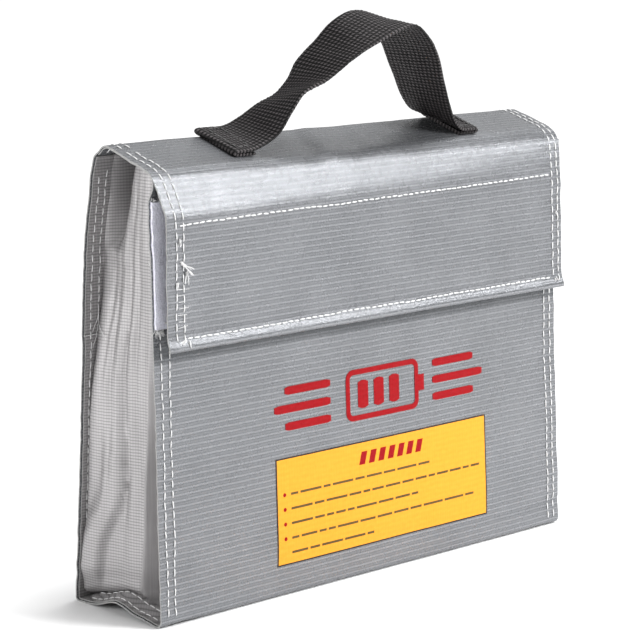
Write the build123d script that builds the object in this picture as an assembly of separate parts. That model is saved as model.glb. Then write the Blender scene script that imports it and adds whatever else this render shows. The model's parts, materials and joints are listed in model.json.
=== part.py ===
from build123d import *
import math
import os

# Fireproof safety bag, closed, standing on its base. Millimetres, +Z up, front towards -Y.
# The origin is at the middle of the base. Every cloth panel is a strip: a path in the YZ plane,
# with the outside of the bag on its left as the path is followed, extruded along X.

# ---- Driving dimensions ----
bag_width = 240.0
flap_width = 236.0
cloth = 1.2                # outer cloth, coated glass fibre
hem = 0.9                  # turned-in layer of a hem, pressed flat
gusset_cloth = 1.0
seam_allowance = 10.0      # width of the seam edges that stand out past the gussets
hinge_gap = 0.4            # between two panels that fold against each other
fit_gap = 0.1              # between two layers that lie close together
mouth_hem_height = 12.0
gusset_hem_height = 8.0
gusset_hem_flare = 0.5     # the bag is deeper at the lower edge of that hem

# ---- Side profile of the closed bag, (y, z) of the outer cloth face ----
front_bottom = (-24.6, 0.0)
front_top = (-19.2, 176.0)
back_bottom = (30.76, 0.0)
back_bend = (23.1, 140.0)
back_top = (14.4, 186.0)
lid_hinge = (14.4, 186.0 + hinge_gap)
lid_back = (7.9, 190.8)
crease = (-20.7, 181.5)
shoulder_foot = (-26.75, 165.0)
flap_bottom = (-26.75, 112.3)

# ---- Hook-and-loop tapes ----
tape_height = 50.0
loop_tape_thickness = 1.6
hook_tape_thickness = 1.4
loop_tape_start = 120.5    # along the front panel, from its foot
loop_tape_half_length = 118.0
hook_tape_start = 2.2      # along the flap, from its lower edge
turn_in_height = 52.0      # cloth folded up behind the flap

# ---- Stitching ----
thread_width = 0.4
thread_height = 0.25
seam_rows = (3.5, 7.5)     # distance of each row from the cloth's edge
seam_start = 5.0           # the rows stop short of the corners
back_seam_start = 3.0
row_margin = 1.0           # between the end of a row and the edge that it runs up to
cover_row_margin = 1.5     # the same, on the lid and at the top of the flap
tape_row_inset = 2.5       # from the long edges of a tape
tape_row_margin = 3.0      # from the ends of a tape
mouth_row_inset = 3.0
flap_row_inset = 4.5

# ---- Prints on the front panel ----
ink = 0.1
label_left = -57.0
label_right = 70.6
label_low = 13.3
label_high = 58.7
label_border = 0.6
heading_left = -10.0
heading_right = 30.0
heading_low = 10.0         # the heading and the lines are placed down from the label's top
heading_high = 4.5
line_ends = [38.0, 66.0, 30.0, 66.0, 0.0]
first_line = 15.5
line_pitch = 6.2
line_half_height = 1.0
line_indent = 8.0
bullet_count = 4
bullet_indent = 4.5
bullet_radius = 0.9
motif_centre = (6.0, 79.0)
cell_outside = (44.0, 22.0, 4.0)      # width, height and corner radius of a battery outline
cell_inside = (39.0, 17.0, 2.0)
cell_tip_width = 4.0
cell_tip_half_height = 5.0
charge_bar = (6.0, 12.0, 1.0)         # width, height and corner radius
charge_bar_count = 3
charge_bar_start = -12.0
charge_bar_pitch = 9.5
side_line_start = 31.0                # from the middle of the motif
side_line_lengths = (26.0, 32.0, 26.0)
side_line_pitch = 7.5
side_line_half_height = 1.7

# ---- Carry handle, on the middle of the sloping lid ----
webbing_width = 25.0
webbing = 1.5
handle_offset = 11.0       # down the slope of the lid, from its back edge
tab_outer = 71.0
tab_inner = 59.0
riser_height = 15.0        # the webbing bends below this height and is stiff above it
strap_left = [(-59, 2.35), (-54, 2.35), (-37, 15), (-30.5, 31), (2, 52)]
strap_right = [(15, 52), (48, 9), (54, 2.35), (59, 2.35)]
strap_radii = [9, 9, 9, 12, 12, 9, 6]
tab_corner = 1.35
tab_stitching = (8.0, 20.0)
tab_thread = 0.5

# ---- Construction lengths, which no face shows ----
overcut = 1.0              # a cutting solid passes the face that it cuts by this much
past_mouth = 30.0          # the hollow of the side cloths runs this far past the mouth
cutter = 300.0             # side of a cutting box, larger than the bag
mitre_reach = 99.0         # larger than the flap
tolerance = 0.01
same_point = 1e-6


# ---- Paths and strips ----
def offset_path(path, distance):
    """The path moved sideways by distance, outwards when positive, with mitred corners."""
    normals = []
    for (y0, z0), (y1, z1) in zip(path, path[1:]):
        run = math.dist((y0, z0), (y1, z1))
        normals.append(((z0 - z1) / run, (y1 - y0) / run))
    befores = [normals[0]] + normals
    afters = normals + [normals[-1]]
    moved = []
    for (y, z), (ay, az), (by, bz) in zip(path, befores, afters):
        reach = distance / (1 + ay * by + az * bz)
        moved.append((y + reach * (ay + by), z + reach * (az + bz)))
    return moved


def sub_path(path, start, end):
    """The part of the path between two distances along it."""
    kept = []
    travelled = 0.0
    for (y0, z0), (y1, z1) in zip(path, path[1:]):
        run = math.dist((y0, z0), (y1, z1))
        low = max(start - travelled, 0.0) / run
        high = min(end - travelled, run) / run
        if low < high:
            for share in (low, high):
                point = (y0 + share * (y1 - y0), z0 + share * (z1 - z0))
                if not kept or math.dist(point, kept[-1]) > same_point:
                    kept.append(point)
        travelled += run
    return kept


def path_length(path):
    return sum(math.dist(a, b) for a, b in zip(path, path[1:]))


def prism(outline, x_low, x_high):
    """A YZ outline extruded from x_low to x_high."""
    face = make_face(Plane.YZ * Polyline(*outline, close=True))
    return Pos(x_low, 0, 0) * extrude(face, amount=x_high - x_low, dir=(1, 0, 0))


def strip(path, outer, inner, x_low, x_high):
    """A layer that follows the path, between two offsets from it."""
    outline = offset_path(path, outer) + offset_path(path, inner)[::-1]
    return prism(outline, x_low, x_high)


def extended(path, reach):
    """The path with its first and last runs made longer."""
    (y0, z0), (y1, z1) = path[0], path[1]
    (y2, z2), (y3, z3) = path[-2], path[-1]
    first = reach / math.dist(path[0], path[1])
    last = reach / math.dist(path[-2], path[-1])
    start = (y0 - first * (y1 - y0), z0 - first * (z1 - z0))
    end = (y3 + last * (y3 - y2), z3 + last * (z3 - z2))
    return [start] + path[1:-1] + [end]


def end_rows(path, outer, inner, panel_half_width):
    """Rows of stitching along both side edges of a panel."""
    rows = []
    for distance in seam_rows:
        x = -panel_half_width + distance
        row = strip(path, outer, inner, x - thread_width / 2, x + thread_width / 2)
        rows += [row, mirror(row, about=Plane.YZ)]
    return rows


def cross_row(path, distance, surface, half_length):
    """A row of stitching along X, at a distance along the path, on a face offset from it."""
    thread_path = sub_path(path, distance - thread_width / 2, distance + thread_width / 2)
    return strip(thread_path, surface + thread_height, surface, -half_length, half_length)


# ---- Side paths ----
front_path = [front_bottom, front_top]
bottom_path = [back_bottom, front_bottom]
back_path = [back_top, back_bend, back_bottom]
body_path = back_path + front_path
flap_path = [flap_bottom, shoulder_foot, crease]
lid_path = [crease, lid_back, lid_hinge]
cover_path = flap_path + lid_path[1:]
lid_length = path_length(lid_path)
front_length = path_length(front_path)
below_hinge = Pos(0, cutter / 2, lid_hinge[1] - cutter / 2) * Box(cutter, cutter, cutter)
above_base = Pos(0, 0, cloth + cutter / 2) * Box(cutter, cutter, cutter)
half_width = bag_width / 2
flap_half_width = flap_width / 2
gusset_x = half_width - seam_allowance


# ---- Bag body ----
def make_gusset():
    """The left side cloth and its hem: a web set in from the end, and seam allowances turned out."""
    web_x = -gusset_x + gusset_cloth
    inner_face = offset_path(body_path, -cloth)
    whole = prism(inner_face, -half_width, web_x)
    hollow = offset_path(extended(body_path, past_mouth), -cloth - gusset_cloth)
    gusset = whole - prism(hollow, -half_width - overcut, -gusset_x)
    back_end, front_end = inner_face[0], inner_face[-1]
    lower_line = [
        (front_end[0], front_end[1] - gusset_hem_height),
        (back_end[0] + gusset_hem_flare, back_end[1] - gusset_hem_height),
    ]
    top_hem = prism([front_end, back_end] + lower_line[::-1], web_x, web_x + hem)
    return gusset, top_hem & prism(inner_face, web_x, web_x + hem)


def make_body():
    left_gusset, gusset_hem = make_gusset()
    mouth_reach = gusset_x - gusset_cloth - hem - fit_gap
    return {
        "front_panel": strip(front_path, 0, -cloth, -half_width, half_width) & above_base,
        "bottom_panel": strip(bottom_path, 0, -cloth, -half_width, half_width),
        "back_panel": strip(back_path, 0, -cloth, -half_width, half_width) & above_base,
        "left_gusset": left_gusset,
        "right_gusset": mirror(left_gusset, about=Plane.YZ),
        "left_gusset_hem": gusset_hem,
        "right_gusset_hem": mirror(gusset_hem, about=Plane.YZ),
        "front_mouth_hem": strip(
            sub_path(front_path, front_length - mouth_hem_height, front_length),
            -cloth,
            -cloth - hem,
            -mouth_reach,
            mouth_reach,
        ),
        "loop_tape": strip(
            sub_path(front_path, loop_tape_start, loop_tape_start + tape_height),
            loop_tape_thickness,
            0,
            -loop_tape_half_length,
            loop_tape_half_length,
        ),
    }


def make_body_stitching():
    inner_face = -cloth - gusset_cloth
    low_front = sub_path(front_path, seam_start, loop_tape_start - row_margin)
    front_rows = end_rows(low_front, thread_height, 0, half_width)
    front_rows += end_rows(
        sub_path(front_path, seam_start, front_length - row_margin),
        inner_face,
        inner_face - thread_height,
        half_width,
    )
    back_run = sub_path(back_path, back_seam_start, path_length(back_path) - seam_start)
    back_rows = end_rows(back_run, thread_height, 0, half_width)
    back_rows += end_rows(back_run, inner_face, inner_face - thread_height, half_width)
    bottom_run = sub_path(bottom_path, seam_start, path_length(bottom_path) - seam_start)
    tape_row_length = loop_tape_half_length - tape_row_margin
    tape_rows = [
        cross_row(front_path, loop_tape_start + inset, loop_tape_thickness, tape_row_length)
        for inset in (tape_row_inset, tape_height - tape_row_inset)
    ]
    mouth_row = cross_row(front_path, front_length - mouth_row_inset, 0, gusset_x)
    return {
        "front_seam_stitches": front_rows,
        "back_seam_stitches": back_rows,
        "bottom_seam_stitches": end_rows(
            bottom_run, inner_face, inner_face - thread_height, half_width
        ),
        "loop_tape_stitches": tape_rows,
        "mouth_stitches": [mouth_row],
    }


# ---- Prints ----
def on_front(sketch, layer):
    """A sketch in the front panel's plane, x across and y up from the base, one ink layer thick."""
    (y0, z0), (y1, z1) = front_path
    run = math.hypot(y1 - y0, z1 - z0)
    outward = (0, (z0 - z1) / run, (y1 - y0) / run)
    plane = Plane(origin=(0, y0, z0), x_dir=(1, 0, 0), z_dir=outward)
    return extrude(plane * (Pos(0, 0, layer * ink) * sketch), amount=ink)


def bar(x_low, x_high, y_low, y_high):
    centre = Pos((x_low + x_high) / 2, (y_low + y_high) / 2)
    return centre * Rectangle(x_high - x_low, y_high - y_low)


def make_prints():
    panel = bar(label_left, label_right, label_low, label_high)
    inner_panel = bar(
        label_left + label_border,
        label_right - label_border,
        label_low + label_border,
        label_high - label_border,
    )
    heading = bar(
        heading_left, heading_right, label_high - heading_low, label_high - heading_high
    )
    text_bars = Sketch()
    bullets = Sketch()
    for row, line_end in enumerate(line_ends):
        y = label_high - first_line - line_pitch * row
        text_bars += bar(
            label_left + line_indent, line_end, y - line_half_height, y + line_half_height
        )
        if row < bullet_count:
            bullets += Pos(label_left + bullet_indent, y) * Circle(bullet_radius)
    motif_x, motif_y = motif_centre
    cell = RectangleRounded(*cell_outside) - RectangleRounded(*cell_inside)
    motif = Pos(motif_x, motif_y) * cell
    tip_x = motif_x + cell_outside[0] / 2
    motif += bar(
        tip_x,
        tip_x + cell_tip_width,
        motif_y - cell_tip_half_height,
        motif_y + cell_tip_half_height,
    )
    for number in range(charge_bar_count):
        bar_x = motif_x + charge_bar_start + charge_bar_pitch * number
        motif += Pos(bar_x, motif_y) * RectangleRounded(*charge_bar)
    for side in (-1, 1):
        for step, length in enumerate(side_line_lengths):
            start = motif_x + side * side_line_start
            x_low, x_high = sorted((start, start + side * length))
            y = motif_y + side_line_pitch * (step - 1)
            motif += bar(x_low, x_high, y - side_line_half_height, y + side_line_half_height)
    return {
        "title_motif": on_front(motif, 0),
        "label_panel": on_front(panel, 0),
        "label_border": on_front(panel - inner_panel, 1),
        "label_heading": on_front(heading, 1),
        "label_text_bars": on_front(text_bars, 1),
        "label_bullets": on_front(bullets, 1),
    }


# ---- Lid and flap, which fold against each other at the crease ----
def crease_side(side):
    """Everything on the lid's side (1) or the flap's side (-1) of the mitre at the crease."""
    inner = offset_path(cover_path, -mitre_reach)[2]
    outer = offset_path(cover_path, mitre_reach)[2]
    run = math.dist(inner, outer)
    across = (side * (outer[1] - inner[1]) / run, side * (inner[0] - outer[0]) / run)
    near, far = hinge_gap / 2, mitre_reach
    corners = []
    for point, reach in ((inner, near), (outer, near), (outer, far), (inner, far)):
        corners.append((point[0] + reach * across[0], point[1] + reach * across[1]))
    return prism(corners, -half_width, half_width)


def cover_layer(side, outer, inner, x_low, x_high):
    """A layer of the lid or of the flap, cut at the mitre."""
    return strip(cover_path, outer, inner, x_low, x_high) & crease_side(side)


def make_lid():
    side_hem = cover_layer(1, -cloth, -cloth - hem, -half_width, -gusset_x) - below_hinge
    return {
        "lid_panel": cover_layer(1, 0, -cloth, -half_width, half_width) - below_hinge,
        "lid_hem_left": side_hem,
        "lid_hem_right": mirror(side_hem, about=Plane.YZ),
        "lid_stitches": end_rows(
            sub_path(lid_path, cover_row_margin, lid_length - cover_row_margin),
            thread_height,
            0,
            half_width,
        ),
    }


def make_flap():
    turn_in_path = sub_path(flap_path, 0, turn_in_height)
    tape_path = sub_path(flap_path, hook_tape_start, hook_tape_start + tape_height)
    hem_edge = flap_half_width - seam_allowance
    hook_face = -cloth - hem
    side_hem = cover_layer(-1, -cloth, hook_face, -flap_half_width, -hem_edge)
    row_path = sub_path(flap_path, row_margin, path_length(flap_path) - cover_row_margin)
    rows = end_rows(row_path, thread_height, 0, flap_half_width)
    cross_half_length = flap_half_width - seam_rows[-1] - thread_width
    for distance in (flap_row_inset, hook_tape_start + tape_height - tape_row_inset):
        rows.append(cross_row(flap_path, distance, 0, cross_half_length))
    return {
        "flap_panel": cover_layer(-1, 0, -cloth, -flap_half_width, flap_half_width),
        "flap_hem_left": side_hem,
        "flap_hem_right": mirror(side_hem, about=Plane.YZ),
        "flap_turn_in": strip(turn_in_path, -cloth, hook_face, -hem_edge, hem_edge),
        "hook_tape": strip(
            tape_path, hook_face, hook_face - hook_tape_thickness, -hem_edge, hem_edge
        ),
        "flap_stitches": rows,
    }


# ---- Handle ----
def make_handle():
    run = math.dist(lid_back, crease)
    slope = ((lid_back[0] - crease[0]) / run, (lid_back[1] - crease[1]) / run)
    foot = (lid_back[0] - handle_offset * slope[0], lid_back[1] - handle_offset * slope[1])
    side_view = Plane(
        origin=(0, foot[0], foot[1]), x_dir=(1, 0, 0), z_dir=(0, -slope[0], -slope[1])
    )
    line = FilletPolyline(*strap_left, *strap_right, radius=strap_radii)
    band = trace(line, line_width=webbing)
    strap = extrude(side_view * band, amount=webbing_width / 2, both=True)
    upper = side_view * Pos(0, riser_height + cutter / 2, 0) * Box(cutter, cutter, cutter)
    risers = (strap - upper).solids().sort_by(Axis.X)
    tab_height = 2 * webbing + fit_gap
    ends = []
    stitches = []
    for side in (-1, 1):
        x_middle = side * (tab_outer + tab_inner) / 2
        block = Pos(x_middle, tab_height / 2) * Rectangle(
            tab_outer - tab_inner, tab_height - fit_gap
        )
        end = extrude(side_view * block, amount=webbing_width / 2, both=True)
        outer_edges = [
            edge
            for edge in end.edges()
            if abs(abs(edge.center().X) - tab_outer) < tolerance
            and edge.length > webbing_width / 2
        ]
        ends.append(fillet(outer_edges, tab_corner))
        top = Plane(
            origin=(x_middle, foot[0], foot[1]),
            x_dir=(1, 0, 0),
            z_dir=(0, -slope[1], slope[0]),
        )
        inside = [length - 2 * tab_thread for length in tab_stitching]
        frame = Rectangle(*tab_stitching) - Rectangle(*inside)
        stitches.append(extrude(top * (Pos(0, 0, tab_height) * frame), amount=thread_height))
    return {
        "handle_end_left": ends[0],
        "handle_end_right": ends[1],
        "handle_riser_left": risers[0],
        "handle_riser_right": risers[-1],
        "handle_stitches": stitches,
        "handle_strap": strap & upper,
    }


def write(name, shape):
    solids = shape if isinstance(shape, list) else [shape]
    solids = [solid for item in solids for solid in item.solids()]
    for number, solid in enumerate(solids):
        solid.label = name if len(solids) == 1 else f"{name}_{number + 1}"
    result = solids[0] if len(solids) == 1 else Compound(label=name, children=solids)
    export_step(result, f"parts/{name}.step")
    return result


os.makedirs("parts", exist_ok=True)
nodes = {}
nodes.update(make_body())
nodes.update(make_body_stitching())
nodes.update(make_prints())
nodes.update(make_lid())
nodes.update(make_flap())
nodes.update(make_handle())
whole = Compound(children=[write(name, shape) for name, shape in nodes.items()])
size = whole.bounding_box()
print("nodes:", len(nodes))
print("size:", size.size, "from", size.min, "to", size.max)
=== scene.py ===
import json
import math
import random

import bmesh
import bpy
import numpy as np
from mathutils import Matrix, Vector, noise


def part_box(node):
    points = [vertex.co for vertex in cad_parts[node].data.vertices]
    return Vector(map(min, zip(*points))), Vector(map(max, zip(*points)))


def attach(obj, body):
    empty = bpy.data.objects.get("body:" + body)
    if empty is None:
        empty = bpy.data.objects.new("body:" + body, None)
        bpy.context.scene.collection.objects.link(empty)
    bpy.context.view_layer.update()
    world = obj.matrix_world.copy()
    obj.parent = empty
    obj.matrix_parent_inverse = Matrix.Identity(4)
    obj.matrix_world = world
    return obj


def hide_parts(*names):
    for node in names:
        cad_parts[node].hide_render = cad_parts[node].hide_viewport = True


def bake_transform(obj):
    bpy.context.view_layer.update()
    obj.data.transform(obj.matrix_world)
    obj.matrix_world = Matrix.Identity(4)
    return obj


# Silver fireproof safety bag, closed, standing on its base. The bag's lengths are in millimetres until a
# mesh is made; the floor and the lamps are in metres. The bag's front faces -Y. Cloth is built from one
# skin: columns run along X and rows along the cloth, from the mouth down the front, under the base, up
# the back, over the lid and down the flap. A length along the skin is called s.

MM = 0.001
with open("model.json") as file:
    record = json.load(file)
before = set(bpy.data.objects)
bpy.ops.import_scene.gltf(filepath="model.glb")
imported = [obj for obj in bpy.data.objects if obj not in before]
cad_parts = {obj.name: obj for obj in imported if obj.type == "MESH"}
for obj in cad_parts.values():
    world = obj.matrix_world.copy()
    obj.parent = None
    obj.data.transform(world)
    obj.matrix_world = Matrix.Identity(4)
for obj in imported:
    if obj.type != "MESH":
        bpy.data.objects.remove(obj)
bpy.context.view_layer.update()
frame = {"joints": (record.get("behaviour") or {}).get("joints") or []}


def edges(node):
    """Lowest and highest corner of a CAD node, in millimetres."""
    low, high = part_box(node)
    return np.array(low) / MM, np.array(high) / MM


# ---- Sizes from the frame ----
front_low, front_high = edges("front_panel")
back_high = edges("back_panel")[1]
lid_low, lid_high = edges("lid_panel")
flap_low, flap_high = edges("flap_panel")
loop_low, loop_high = edges("loop_tape")
hook_low, hook_high = edges("hook_tape")
half_width = front_high[0]
flap_half_width = flap_high[0]
hinge_y, hinge_z = lid_high[1], back_high[2]
crease_z = next(j["pos_m"][2] for j in frame["joints"] if j["name"] == "flap_hinge") / MM

# ---- Sizes of the cloth and its seams ----
# Thicknesses: of the CAD's stand-in for cloth, and of the real body cloth, its hems and the side cloths.
cad_cloth = 1.2
cloth = 0.62
hem = 0.5
gusset_cloth = 0.5
layer_gap = 0.07
# Offsets from the skin's outer face: below the cloth, below a side cloth sewn to it, and a hem's faces.
under_cloth = -cloth - layer_gap
under_gusset = under_cloth - gusset_cloth
hem_faces = (under_cloth, under_cloth - hem)
# The mouth stands above the CAD's front panel, and the seam rows lie within the seam allowance.
mouth_rise = 2.3
seam_allowance = 10.0
gusset_x = half_width - seam_allowance
seam_rows = (3.5, 7.5)
# Cloth turned in behind the flap, the loop tape's height, a side cloth's flat size, and the webbing's
# yarn pitches.
turned_in = 54
loop_height = 1.1
weave_row, weave_column = 1.75, 1.9
# Where a side cloth is folded in, its flat coordinates are moved by this much, to look pressed smooth.
tuck_shift = 500.0
SIDES = ((-1, "left"), (1, "right"))
X_AXIS = np.array([1.0, 0, 0])


# ---- Numbers and noise ----
def smoothstep(low, high, value):
    """Rises smoothly from 0 at low to 1 at high, which may be below low."""
    share = np.clip((np.asarray(value, float) - low) / (high - low), 0, 1)
    return share * share * (3 - 2 * share)


def bump(centre, width, value):
    """A bell of height 1 around the centre."""
    return np.exp(-(((np.asarray(value, float) - centre) / width) ** 2))


def unit(vectors):
    """The vectors, each made one long."""
    return vectors / np.maximum(np.linalg.norm(vectors, axis=-1, keepdims=True), 1e-9)


def lengths_along(points):
    """How far each point of a line is from its first point, along the line."""
    return np.concatenate([[0], np.cumsum(np.linalg.norm(np.diff(points, axis=0), axis=1))])


def smooth_noise(a, b, size, seed):
    """Noise between about -1 and 1 over two coordinates, with features of that size."""
    seed_step, falloff, ratio, octaves = 3.7, 0.9, 2.0, 2
    a, b = np.broadcast_arrays(np.asarray(a, float), np.asarray(b, float))
    values = [
        noise.fractal(Vector((p / size, q / size, seed * seed_step)), falloff, ratio, octaves)
        for p, q in zip(a.ravel(), b.ravel())
    ]
    return np.array(values).reshape(a.shape)


def dense_samples(low, high, step, fine_step, fine_spots):
    """Values from low to high, closer together near the fine spots, given as (centre, reach)."""
    values = [low]
    while values[-1] < high:
        near = any(abs(values[-1] - centre) < reach for centre, reach in fine_spots)
        values.append(values[-1] + (fine_step if near else step))
    values = np.array(values)
    return low + (values - low) * (high - low) / (values[-1] - low)


def grid_normals(points):
    """Outward normals of a grid of points whose rows run along the cloth."""
    return unit(np.cross(np.gradient(points, axis=1), np.gradient(points, axis=0)))


# ---- Meshes ----
def link(name, data):
    """A new object in the scene."""
    thing = bpy.data.objects.new(name, data)
    bpy.context.scene.collection.objects.link(thing)
    return thing


def make_mesh(name, points, faces, materials, uvs=None, face_materials=None, sharp=55):
    """A smooth object from points in millimetres, with edges sharper than an angle kept sharp."""
    mesh = bpy.data.meshes.new(name)
    mesh.from_pydata([tuple(p) for p in np.asarray(points, float) * MM], [], faces)
    for material in materials:
        mesh.materials.append(material)
    if face_materials is not None:
        mesh.polygons.foreach_set("material_index", np.asarray(face_materials, np.int32))
    if uvs is not None:
        layer = mesh.uv_layers.new(name="cloth")
        index = np.zeros(len(mesh.loops), np.int32)
        mesh.loops.foreach_get("vertex_index", index)
        layer.data.foreach_set("uv", np.asarray(uvs, np.float32)[index].ravel())
    mesh.polygons.foreach_set("use_smooth", [True] * len(mesh.polygons))
    mesh.set_sharp_from_angle(angle=math.radians(sharp))
    mesh.validate()
    return link(name, mesh)


def grid_quads(rows, columns):
    """The faces of a grid of points, as four indices each, and the index of each point."""
    index = np.arange(rows * columns).reshape(rows, columns)
    quads = np.stack([index[:-1, :-1], index[:-1, 1:], index[1:, 1:], index[1:, :-1]], -1)
    return quads.reshape(-1, 4), index


def solid_grid(name, top, bottom, uv, materials):
    """A closed sheet between two grids of points. Its rim wears the second material, if there is one."""
    n, m = top.shape[:2]
    points = np.concatenate([top.reshape(-1, 3), bottom.reshape(-1, 3)])
    uvs = np.concatenate([uv.reshape(-1, 2)] * 2)
    quads, index = grid_quads(n, m)
    under = quads[:, ::-1] + n * m
    loop = np.concatenate([index[:, 0], index[-1, 1:], index[-2::-1, -1], index[0, -2:0:-1]])
    following = np.roll(loop, -1)
    rim = np.stack([loop, following, following + n * m, loop + n * m], -1)
    faces = np.concatenate([quads, under, rim]).tolist()
    kinds = np.zeros(len(faces), int)
    if len(materials) > 1:
        kinds[len(quads) * 2 :] = 1
    return make_mesh(name, points, faces, materials, uvs, kinds)


def ring_faces(rings, sides):
    """The faces of a tube of that many rings, and of its two ends."""
    faces = []
    for i in range(rings - 1):
        for k in range(sides):
            j = (k + 1) % sides
            faces.append((i * sides + k, i * sides + j, (i + 1) * sides + j, (i + 1) * sides + k))
    last = (rings - 1) * sides
    return faces + [tuple(range(sides))[::-1], tuple(range(last, last + sides))]


def tube(points, radius, sides=5):
    """Points and faces of a thin tube along a line of points."""
    points = np.asarray(points, float)
    tangents = unit(np.gradient(points, axis=0))
    guide = np.array([0.31, 0.27, 0.91])
    side = unit(np.cross(tangents, guide))
    up = np.cross(side, tangents)
    turn = 2 * np.pi * np.arange(sides) / sides
    radii = np.broadcast_to(radius, len(points))[:, None, None]
    rings = points[:, None] + radii * (
        np.cos(turn)[None, :, None] * side[:, None] + np.sin(turn)[None, :, None] * up[:, None]
    )
    return rings.reshape(-1, 3), ring_faces(len(points), sides)


def join_parts(parts):
    """One list of points and faces from several."""
    points, faces, start = [], [], 0
    for part_points, part_faces in parts:
        points.append(np.asarray(part_points, float))
        faces += [tuple(i + start for i in face) for face in part_faces]
        start += len(part_points)
    return np.concatenate(points), faces


# ---- Materials ----
class Value:
    """A number, place or colour that shader nodes work out. Sums with a number add Math nodes."""

    def __init__(self, shader, socket):
        self.shader, self.socket = shader, socket

    def __add__(self, other):
        return self.shader.math("ADD", self, other)

    def __sub__(self, other):
        return self.shader.math("SUBTRACT", self, other)

    def __rsub__(self, other):
        return self.shader.math("SUBTRACT", other, self)

    def __mul__(self, other):
        return self.shader.math("MULTIPLY", self, other)

    def __pow__(self, power):
        return self.shader.math("POWER", self, power)

    def __abs__(self):
        return self.shader.math("ABSOLUTE", self)

    def ramp(self, low, high, to_low=0.0, to_high=1.0):
        """Runs evenly from to_low to to_high while the value goes from low to high, and stops there."""
        inputs = {"Value": self, "From Min": low, "From Max": high, "To Min": to_low, "To Max": to_high}
        return self.shader.node("MapRange", inputs)


class Shader:
    """A node material: a Principled shader, and short ways to add nodes in front of it."""

    def __init__(self, name, **sockets):
        self.material = bpy.data.materials.new(name)
        self.material.use_nodes = True
        self.tree = self.material.node_tree
        self.shader = self.tree.nodes["Principled BSDF"]
        for socket, value in sockets.items():
            self.shader.inputs[socket.replace("_", " ")].default_value = value

    def feed(self, node, key, value):
        if isinstance(value, Value):
            self.tree.links.new(value.socket, node.inputs[key])
        else:
            node.inputs[key].default_value = value

    def node(self, kind, inputs=None, output=0, **settings):
        """Adds a node and returns one of its outputs."""
        node = self.tree.nodes.new("ShaderNode" + kind)
        for key, value in settings.items():
            setattr(node, key, value)
        for key, value in (inputs or {}).items():
            self.feed(node, key, value)
        return Value(self, node.outputs[output])

    def math(self, operation, *numbers):
        return self.node("Math", dict(enumerate(numbers)), operation=operation)

    def noise(self, place, scale, detail=3.0, roughness=0.5):
        inputs = {"Vector": place, "Scale": scale, "Detail": detail, "Roughness": roughness}
        return self.node("TexNoise", inputs, "Fac")

    def place(self):
        """The place on the object, in metres."""
        return self.node("TexCoord", output="Object")

    def cloth_place(self):
        """The place on the flat cloth, in millimetres, and its two coordinates."""
        place = self.node("UVMap", uv_map="cloth")
        return place, *(self.node("SeparateXYZ", {0: place}, axis) for axis in (0, 1))

    def colour(self, tone, dark, light):
        mixed = self.node("Mix", {0: tone, 6: dark, 7: light}, 2, data_type="RGBA")
        self.feed(self.shader, "Base Color", mixed)

    def relief(self, height, distance):
        """Bumps from a height between 0 and 1, worth that many millimetres."""
        bumps = self.node("Bump", {"Height": height, "Distance": distance * MM})
        self.feed(self.shader, "Normal", bumps)


def grey(value, tint=(1, 1, 1)):
    return (value * tint[0], value * tint[1], value * tint[2], 1)


def waves(coordinate, pitch, wander, amount):
    """A sine of that pitch along a coordinate, wandering by up to amount."""
    return coordinate.shader.math("SINE", (wander * amount + coordinate) * (2 * math.pi / pitch))


def pressed_share(u, v):
    """1 where a side cloth is folded in and pressed smooth, 0 where its weave shows."""
    fade_high, fade_low = 128.0, 84.0
    return u.ramp(tuck_shift / 2, tuck_shift / 2 + 1) * v.ramp(fade_high, fade_low)


def flap_shadow_share(v, edge):
    """Painted shadow: how much the cloth is darkened just below the line where the flap's edge stands over
    it, from 0 to 1.
    """
    return v.ramp(edge - 3, edge) * v.ramp(edge + 7, edge + 1.5)


def make_cloth(
    name, row_pitch, tick_pitch, tick_share, lean, pairing, contrast, dark, light, rough, depth, flap_shadow_at=None
):
    """Aluminised glass-fibre cloth: rows of yarn across the cloth, of which every second one can be
    darker and lean, with a fine groove between rows, ticks along each row, and scuffs. It is smooth where
    it is pressed flat, and has a painted shadow below the length where the flap's edge stands, if given."""
    middle_tone, uneven_tone, grain_tone, flap_shadow_tone = 0.45, 0.3, 0.12, -0.75
    grain_height, streak_slope = 0.08, 0.04
    shader = Shader(name, Metallic=0.52, Roughness=0.36)
    place, u, v = shader.cloth_place()
    wander = shader.noise(place, 0.11, 2.0) - 0.5
    pair_wave = waves(v, row_pitch * 2, wander, 0.5)
    pair = pair_wave * 0.5 + 0.5
    grooves = abs(pair_wave) ** 0.5
    ticks = waves(v * lean * pair + u, tick_pitch, wander, 0.4) * 0.5 + 0.5
    grain = shader.noise(place, 2.2, 4.0)
    uneven = shader.noise(place, 0.035, 3.0)
    pressed = pressed_share(u, v)
    raised = grooves * (ticks * tick_share + (1 - tick_share)) * (1.0 - pressed)
    tone = raised * (pair * pairing + (1 - pairing)) * contrast + (0.5 - contrast * middle_tone)
    tone = tone + (uneven - 0.5) * uneven_tone + (grain - 0.5) * grain_tone
    along = shader.node("CombineXYZ", {0: u, 1: v * streak_slope})
    streaks = shader.noise(along, 0.9, 3.0) * 0.6 + 0.36
    tone = tone + pressed * streaks
    # Painted shadow of the flap's lower edge: a dark band on the cloth just below where that edge stands.
    if flap_shadow_at:
        tone = tone + flap_shadow_share(v, flap_shadow_at) * flap_shadow_tone
    shader.colour(shader.node("Clamp", {0: tone}), dark, light)
    scuffs = shader.noise(place, 0.25, 5.0, 0.65)
    shader.feed(shader.shader, "Roughness", scuffs.ramp(0.0, 1.0, *rough))
    shader.relief(grain * grain_height + raised, depth)
    return shader.material


def make_cut_edge():
    """The cut edge of the cloth: pale glass fibres, ragged."""
    shader = Shader("cloth_cut_edge", Roughness=0.8)
    fibres = shader.noise(shader.place(), 2600.0)
    shader.colour(fibres, grey(0.12), grey(0.5, (1, 1, 0.98)))
    shader.relief(fibres, 0.15)
    return shader.material


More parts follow.
